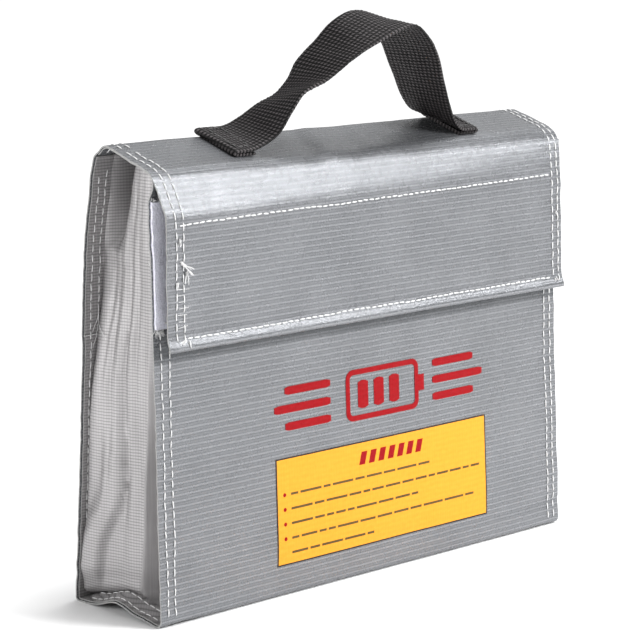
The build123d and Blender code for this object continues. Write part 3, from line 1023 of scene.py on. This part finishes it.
# ---- Prints ----
# A flat shape is its points over x and s, and its faces.
def relief_on_front(name, shapes, faces_at, material, node):
    """Flat shapes made solid between two offsets from the face of the front panel."""
    points, faces, uvs, start = [], [], [], 0
    for flat, flat_faces in shapes:
        flat = np.asarray(flat, float)
        count = len(flat)
        points += [skin.at(flat[:, 0], flat[:, 1], lift) for lift in faces_at]
        uvs += [flat, flat]
        edge_use = {}
        for face in flat_faces:
            faces.append(tuple(start + i for i in face))
            faces.append(tuple(start + count + i for i in reversed(face)))
            for a, b in zip(face, face[1:] + face[:1]):
                edge_use[(a, b)] = True
        for a, b in edge_use:
            if (b, a) not in edge_use:
                faces.append((start + b, start + a, start + count + a, start + count + b))
        start += 2 * count
    piece = make_mesh(name, np.concatenate(points), faces, [material], np.concatenate(uvs))
    finish_piece(piece, [node], "bag_body")


def on_front(outline):
    """An outline in x and z, as points over x and s."""
    return [(x, front_length_at(z)) for x, z in outline]


def bar(x_low, x_high, z_low, z_high, ends=0.0):
    """A bar on the front panel, in columns, with its ends drawn in."""
    columns = max(2, int((x_high - x_low) / 2.0) + 1)
    rows = max(2, int((z_high - z_low) / 3.0) + 1)
    z_middle = (z_low + z_high) / 2
    outline = []
    for i, x in enumerate(np.linspace(x_low, x_high, columns)):
        shrink = 1 - ends if i in (0, columns - 1) else 1.0
        outline += [(x, z_middle + (z - z_middle) * shrink) for z in np.linspace(z_high, z_low, rows)]
    starts = [i * rows + j for i in range(columns - 1) for j in range(rows - 1)]
    return on_front(outline), [(a, a + 1, a + rows + 1, a + rows) for a in starts]


def slanted_bar(x_low, x_high, z_low, z_high, slant):
    """A bar whose top leans to the right."""
    levels = ((z_high, slant / 2), ((z_low + z_high) / 2, 0), (z_low, -slant / 2))
    outline = [(x + shift, z) for x in (x_low, x_high) for z, shift in levels]
    return on_front(outline), [(0, 1, 4, 3), (1, 2, 5, 4)]


def rounded_outline(x, z, width, height, radius, per_corner=6):
    """A rectangle around (x, z) with round corners."""
    outline = []
    for cx, cz, start in ((1, 1, 0), (-1, 1, 90), (-1, -1, 180), (1, -1, 270)):
        corner_x = x + cx * (width / 2 - radius)
        corner_z = z + cz * (height / 2 - radius)
        for step in range(per_corner + 1):
            turn = math.radians(start + 90 * step / per_corner)
            outline.append((corner_x + radius * math.cos(turn), corner_z + radius * math.sin(turn)))
    return outline


def frame_shape(outer, inner):
    """A closed band between two outlines with the same number of points."""
    count = len(outer)
    nexts = [(i, (i + 1) % count) for i in range(count)]
    return on_front(outer + inner), [(i, j, count + j, count + i) for i, j in nexts]


def disc(x, z, radius, sides=16):
    """A round dot around (x, z)."""
    turns = [2 * math.pi * k / sides for k in range(sides)]
    outline = [(x + radius * math.cos(turn), z + radius * math.sin(turn)) for turn in turns]
    return on_front([(x, z)] + outline), [(0, k + 1, (k + 1) % sides + 1) for k in range(sides)]


def label_frame(left, right, low, high):
    """Four thin bars around the yellow panel."""
    border = 0.55
    return [
        bar(left, right, high - border, high),
        bar(left, right, low, low + border),
        bar(left, left + border, low + border, high - border),
        bar(right - border, right, low + border, high - border),
    ]


def label_heading():
    """Slanted stripes where the panel's heading is."""
    stripe, stripe_gap, slant = 3.4, 2.3, 1.6
    low, high = edges("label_heading")
    starts = np.arange(low[0] + slant, high[0] - stripe, stripe + stripe_gap)
    return [slanted_bar(x, x + stripe, low[2], high[2], slant) for x in starts]


def label_text(rng):
    """Rows of short bars in place of the panel's text, and a dot in front of most rows."""
    half_line, word_gap, shortest_word, dot_radius = 0.5, 1.3, 3, 0.85
    word_lengths = (4.0, 5.5, 7.0, 9.0, 12.0)
    line_ends = (38.0, 66.0, 30.0, 66.0, 0.0)
    low, high = edges("label_text_bars")
    bullets_low, bullets_high = edges("label_bullets")
    bullet_x = (bullets_low[0] + bullets_high[0]) / 2
    words, dots = [], []
    rows = np.linspace(high[2] - 1.0, low[2] + 1.0, len(line_ends))
    for z, line_end in zip(rows, line_ends):
        x = low[0]
        while x < line_end - shortest_word:
            length = min(rng.choice(word_lengths), line_end - x)
            words.append(bar(x, x + length, z - half_line, z + half_line))
            x += length + word_gap
        dots.append(disc(bullet_x, z, dot_radius))
    return words, dots[:-1]


def battery_motif():
    """A battery with three charge bars, and three lines of speed on each side of it."""
    low, high = edges("title_motif")
    x, z = (low[0] + high[0]) / 2, (low[2] + high[2]) / 2
    width, height, line = 44, 22, 2.3
    cap, cap_half_height = 3.6, 5
    charge_pitch, charge_half, charge_half_height = 9.5, 3, 6
    lines_from, line_pitch, line_half, line_lengths = 31, 7.5, 1.7, (26, 32, 26)
    outer = rounded_outline(x, z, width, height, 4)
    inner = rounded_outline(x, z, width - 2 * line, height - 2 * line, 2)
    right = x + width / 2
    shapes = [
        frame_shape(outer, inner),
        bar(right, right + cap, z - cap_half_height, z + cap_half_height, 0.3),
    ]
    for number in range(3):
        middle = x - 12 + charge_pitch * number
        sides = middle - charge_half, middle + charge_half
        shapes.append(bar(*sides, z - charge_half_height, z + charge_half_height, 0.12))
    for side in (-1, 1):
        for step, length in enumerate(line_lengths):
            ends = sorted((x + side * lines_from, x + side * (lines_from + length)))
            middle = z + line_pitch * (step - 1)
            shapes.append(bar(*ends, middle - line_half, middle + line_half, 0.3))
    return shapes


def make_prints():
    """The yellow panel with what is printed on it, and the red battery above it."""
    low, high = edges("label_panel")
    sides = (low[0], high[0], low[2], high[2])
    words, dots = label_text(random.Random(19))
    on_label = (0.16, -0.1)
    relief_on_front("label_ground", [bar(*sides)], (0.1, -0.2), yellow_ink, "label_panel")
    relief_on_front("label_frame", label_frame(*sides), on_label, black_ink, "label_border")
    relief_on_front("label_title", label_heading(), on_label, red_ink, "label_heading")
    relief_on_front("label_lines", words, on_label, text_ink, "label_text_bars")
    relief_on_front("label_dots", dots, on_label, red_ink, "label_bullets")
    relief_on_front("red_motif", battery_motif(), (0.17, -0.2), red_ink, "title_motif")


make_prints()


# ---- Carry handle ----
webbing_half = 12.4
webbing_thick = 1.5


def folded_end(side, longer=0.0, last=66):
    """The end of an edge of the webbing, folded under itself and sewn: from under the fold to over it."""
    reaches = (60, 66, 70 + longer, 71 + longer, 70 + longer, last)
    return [(side * reach, height) for reach, height in zip(reaches, (0.8, 0.8, 0.9, 1.5, 2.3, 2.35))]


# The two edges of the webbing between its folded ends, as (x, height above the lid), from left to right.
# The webbing twists: its edges rise at different places.
front_edge = [
    (-60, 2.9), (-54, 5.6), (-49, 9.6), (-46, 16.0), (-41, 25.4), (-36, 28.2), (-28, 31.6), (-17.5, 39.3),
    (-3, 47), (6.7, 50.9), (16.3, 52.3), (25.6, 46.6), (34, 37.7), (42, 25), (49, 14.5), (55, 7), (61, 2.9),
]
back_edge = [
    (-58, 2.4), (-50.3, 5.3), (-41.5, 10.8), (-32, 14.8), (-27.2, 20.5), (-24.6, 28.0), (-21, 32.8),
    (-16.5, 37.2), (-10.3, 45), (-3.3, 49.2), (2.3, 50.4), (9, 49.2), (16, 43.6), (23.4, 36), (29.8, 28),
    (36.2, 20.3), (43, 11.8), (51, 4.2), (58, 2.4),
]


def spline(points, count):
    """A smooth line through the points, resampled to equal steps, and its length."""
    per_stretch = 24
    points = np.asarray(points, float)
    ends = np.concatenate([[2 * points[0] - points[1]], points, [2 * points[-1] - points[-2]]])
    dense = []
    for a, b, c, d in zip(ends, ends[1:], ends[2:], ends[3:]):
        square, cube = 2 * a - 5 * b + 4 * c - d, 3 * b - a - 3 * c + d
        for t in np.linspace(0, 1, per_stretch, endpoint=False):
            dense.append(0.5 * (2 * b + (c - a) * t + square * t**2 + cube * t**3))
    dense = np.array(dense + [points[-1]])
    lengths = lengths_along(dense)
    places = np.linspace(0, lengths[-1], count)
    return np.stack([np.interp(places, lengths, dense[:, k]) for k in range(2)], -1), lengths[-1]


def lid_frame():
    """The middle of the lid under the handle, and the directions up its slope and out of it."""
    lid_back_y, from_back = 7.9, 11.0
    low_end = np.array([0, lid_low[1], crease_z])
    high_end = np.array([0, lid_back_y, lid_high[2]])
    slope = unit(high_end - low_end)
    return high_end - from_back * slope, slope, np.array([0, -slope[2], slope[1]])


def woven_height(width, distance):
    """How high the yarns of the webbing stand, from 0 to 1, over its width and length."""
    slant_share, roundness, yarn_share = 0.14, 0.7, 0.55
    row = np.floor(distance / weave_row)
    slant = slant_share * weave_column * np.sin(2 * np.pi * distance / weave_row)
    yarn = abs(np.sin(np.pi * (width + slant + row * weave_column / 2) / weave_column))
    return abs(np.sin(np.pi * distance / weave_row)) ** roundness * (1 - yarn_share + yarn_share * yarn)


def make_webbing_handle():
    """Woven webbing: a ribbon between its two edges, with the yarns of the weave raised."""
    count, columns = 540, 62
    yarn_relief, middle_yarn, edge_thickness, edge_relief = 0.34, 0.6, 0.55, 0.4
    unevenness, sewn_length, bend_from, bend_to = 0.25, 18, -2.0, 50.0
    front, length = spline(folded_end(-1, last=65) + front_edge + folded_end(1)[::-1], count)
    back, _ = spline(folded_end(-1, 1.2, 65) + back_edge + folded_end(1)[::-1], count)
    foot, slope, out = lid_frame()
    across = np.linspace(-1, 1, columns)
    share = ((across + 1) / 2)[None, :, None]
    flat = front[:, None] * (1 - share) + back[:, None] * share
    width = (across * webbing_half)[None]
    centre = foot + flat[..., :1] * X_AXIS + flat[..., 1:] * out + width[..., None] * slope
    normals = unit(np.cross(np.gradient(centre, axis=0), np.gradient(centre, axis=1)))
    distance = np.linspace(0, length, count)[:, None]
    edge = 1 - smoothstep(0.93, 1.0, abs(across))[None]
    half = webbing_thick / 2 * (edge_thickness + (1 - edge_thickness) * edge)
    relief = yarn_relief * (woven_height(width, distance) - middle_yarn)
    relief = relief * (edge_relief + (1 - edge_relief) * edge)
    free = smoothstep(sewn_length, sewn_length + 12, np.minimum(distance, length - distance))
    rise = (half + relief)[..., None] * normals
    sag = (unevenness * smooth_noise(distance, width, 9, 41) * free)[..., None] * normals
    uv = np.stack(np.broadcast_arrays(width, distance), -1)
    grids = (grid[:, ::-1] for grid in (centre - rise + sag, centre + rise + sag, uv))
    strap = solid_grid("webbing_handle", *grids, [webbing_black])
    start, end = (tuple((foot + height * out) * MM) for height in (bend_from, bend_to))
    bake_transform(strap)
    nodes = ["handle_strap", "handle_riser_left", "handle_riser_right", "handle_end_left", "handle_end_right"]
    finish_piece(strap, nodes)


def make_handle_stitches():
    """A sewn box on each folded end of the handle."""
    inner, outer, half_box, lift, samples = 61.5, 68.5, 9.5, 3.15, 12
    rng = random.Random(5)
    foot, slope, out = lid_frame()
    box = ((inner, -half_box), (outer, -half_box), (outer, half_box), (inner, half_box), (inner, -half_box))
    rows = []
    for side in (-1, 1):
        for (x0, w0), (x1, w1) in zip(box, box[1:]):
            t = np.linspace(0, 1, samples)[:, None]
            x, w = side * (x0 + (x1 - x0) * t), w0 + (w1 - w0) * t
            line = foot + x * X_AXIS + w * slope + lift * out
            rows += stitches(line, np.repeat(out[None], samples, 0), rng, pitch=3.0, gap=0.5, width=0.28)
    looks = {"material": black_thread, "slot": "black_thread"}
    thread_piece("handle_thread", rows, ["handle_stitches"], "lid", **looks)


make_webbing_handle()
make_handle_stitches()


# ---- Loose threads and frayed corners ----
def loose_thread(start, direction, length, rng, radius=0.14, curl=0.5):
    """A thread that wanders off from where it starts, and gets thinner."""
    steps, taper = 14, 0.6
    point = np.array(start, float)
    heading = unit(np.array(direction, float))
    points = [point.copy()]
    for _ in range(steps):
        heading = unit(heading + curl * np.array([rng.uniform(-1, 1) for _ in range(3)]) * 0.5)
        point = point + heading * length / steps
        points.append(point.copy())
    return tube(points, np.linspace(radius, radius * taper, steps + 1))


def tuft(place, heading, count, length, rng, radius=0.14, spread=0.6, curl=0.5):
    """Several frayed threads from about one place."""
    parts = []
    for _ in range(count):
        start = place + np.array([rng.uniform(-0.5, 0.5) for _ in range(3)])
        lean = np.array(heading) + np.array([rng.uniform(-spread, spread) for _ in range(3)])
        parts.append(loose_thread(start, lean, length * rng.uniform(0.5, 1.1), rng, radius, curl))
    return parts


def body_frays(rng):
    """Frays at the left end of the loop tape and on the side seam, and threads across the back seam."""
    crossing_z = 112.0
    edge_x = -half_width + 1.0
    top, low = front_length_at(loop_high[2]), front_length_at(loop_low[2])
    parts = []
    for step in range(6):
        parts += tuft(skin.at(edge_x + step, top - 0.3, 0.5), (-0.3, -0.3, 0.6), 4, 2.4, rng, 0.11)
        parts += tuft(skin.at(edge_x + step * 0.7, low, 0.6), (-0.2, -0.5, -0.8), 6, 3.2, rng, 0.12)
    parts += tuft(skin.at(edge_x, front_length_at(145), -0.6), (-0.7, 0.3, 0.9), 4, 3.6, rng, 0.13, 0.3)
    inner = under_gusset - 0.2
    back_rows = (skin.s > knots["back_bottom"] + 5) & (skin.s < knots["back_top"] - 5)
    back_s = np.interp(crossing_z, skin.points[0, back_rows, 2], skin.s[back_rows])
    crossing = skin.at(np.linspace(-half_width + 0.2, -half_width + 7.6, 9), back_s, inner - 0.15)
    parts.append(tube(crossing, 0.16))
    for step in range(3):
        start = skin.at(-half_width + 7.2, back_s + 3 + step * 4, inner - 0.3)
        parts.append(loose_thread(start, (-0.35, -0.2, -1.0), 10, rng, 0.16, 0.3))
    return parts


def cover_frays(rng):
    """Tufts along the flap's ends, and short threads whipped over its left edge."""
    side_x, foot = -flap_half_width, knots["shoulder_foot"]
    parts = []
    for s, x, heading, count, reach in (
        (foot + 9, side_x + 4.4, (0.1, -0.1, -1.0), 3, 4.5),
        (foot + 18, side_x + 4.8, (0.75, -0.2, -0.8), 7, 7.0),
        (foot + 22, side_x + 8.2, (-0.1, -0.1, -1.0), 4, 5.0),
        (foot + 26, side_x + 3.6, (-0.4, -0.1, -1.0), 5, 3.5),
        (skin_end - 4, side_x + 7.0, (-0.7, -0.1, -0.5), 6, 3.0),
        (skin_end - 3, side_x + 8.6, (0.1, -0.1, -1.0), 3, 2.5),
        (skin_end - 4, -side_x - 3.5, (0.3, -0.1, -0.9), 4, 3.0),
        (foot + 20, -side_x - 2.2, (0.5, -0.1, -0.5), 3, 2.5),
    ):
        parts += tuft(skin.at(x, s, 0.4), heading, count, reach, rng, 0.26, 0.1, 0.22)
    for step in range(7):
        s = skin_end - 9 - step * 2.6
        start = skin.at(side_x + rng.uniform(2.6, 3.6), s, 0.15)
        end = skin.at(side_x + rng.uniform(6.0, 9.5), s + rng.uniform(-0.6, 0.6), 0.2)
        parts.append(tube(np.linspace(start, end, 5), 0.1))
    return parts


fray_rng = random.Random(11)
thread_piece("loose_threads_body", body_frays(fray_rng), [], "bag_body")
thread_piece("loose_threads_flap", cover_frays(fray_rng), [], "flap")

# ---- Flat lengths of the body cloth and the cover cloth, in metres, worked out and not kept ----
split * MM
(skin_end - split + turned_in) * MM


# ---- Floor, light and camera ----
def make_floor():
    """A wide sheet of pale paper."""
    size = 40.0
    corners = [(x * size, y * size, 0) for x, y in ((-1, -1), (1, -1), (1, 1), (-1, 1))]
    mesh = bpy.data.meshes.new("floor")
    mesh.from_pydata(corners, [], [(0, 1, 2, 3)])
    shader = Shader("floor_paper", Roughness=0.7)
    shader.colour(shader.noise(shader.place(), 60.0), grey(0.95), grey(0.98))
    mesh.materials.append(shader.material)
    link("floor", mesh)


def make_world():
    """A white surround, which lights the bag less strongly than it looks to the camera."""
    sky_light = 0.27
    world = bpy.context.scene.world or bpy.data.worlds.new("studio")
    bpy.context.scene.world = world
    world.use_nodes = True
    nodes, links = world.node_tree.nodes, world.node_tree.links
    background = nodes["Background"]
    background.inputs["Color"].default_value = (1, 1, 1, 1)
    seen = nodes.new("ShaderNodeMath")
    seen.operation = "MULTIPLY_ADD"
    seen.inputs[1].default_value = 1 - sky_light
    seen.inputs[2].default_value = sky_light
    links.new(nodes.new("ShaderNodeLightPath").outputs["Is Camera Ray"], seen.inputs[0])
    links.new(seen.outputs[0], background.inputs["Strength"])


def softbox(name, place, target, size, power):
    """A rectangular lamp that faces its target."""
    light = bpy.data.lights.new(name, "AREA")
    light.shape = "RECTANGLE"
    light.size, light.size_y = size
    light.energy = power
    lamp = link(name, light)
    lamp.location = place
    lamp.rotation_euler = (Vector(target) - Vector(place)).to_track_quat("-Z", "Y").to_euler()


def sun(name, direction, strength, spread):
    """Even light from a direction, softened over that many degrees."""
    light = bpy.data.lights.new(name, "SUN")
    light.energy = strength
    light.angle = math.radians(spread)
    link(name, light).rotation_euler = Vector(direction).to_track_quat("Z", "Y").to_euler()


def make_camera():
    """A long lens turned towards the bag: angles in degrees, and the aim and its offset in millimetres."""
    azimuth, elevation, roll = (math.radians(value) for value in (-43.59, 10.33, 0.26))
    aim = np.array([0, 3.3, 90])
    offset = np.array([4.82, -16.27, -1037.27])
    flat = math.cos(elevation)
    back = np.array([math.sin(azimuth) * flat, -math.cos(azimuth) * flat, math.sin(elevation)])
    right = np.array([math.cos(azimuth), math.sin(azimuth), 0])
    c, s = math.cos(roll), math.sin(roll)
    turned = np.array([[c, s, 0], [-s, c, 0], [0, 0, 1]]) @ np.array([right, np.cross(back, right), back])
    data = bpy.data.cameras.new("camera")
    data.lens, data.sensor_width = 135, 36
    data.clip_start, data.clip_end = 0.05, 20
    camera = link("camera", data)
    place = (aim - turned.T @ offset) * MM
    camera.matrix_world = Matrix([(*turned[:, axis], place[axis]) for axis in range(3)] + [(0, 0, 0, 1)])
    bpy.context.scene.camera = camera


make_floor()
make_world()
sun("overhead", (0.22, -0.12, 1.0), 2.9, 28)
softbox("shoulder", (0.62, -0.95, 0.76), (0, 0, 0.18), (0.5, 0.35), 22)
softbox("back_right", (1.15, 0.8, 1.0), (0, 0, 0.15), (0.9, 0.9), 1.6)
softbox("left", (-1.3, 0.4, 0.5), (0, 0, 0.12), (0.8, 0.8), 9.5)
make_camera()
bpy.context.scene.view_settings.view_transform = "Standard"
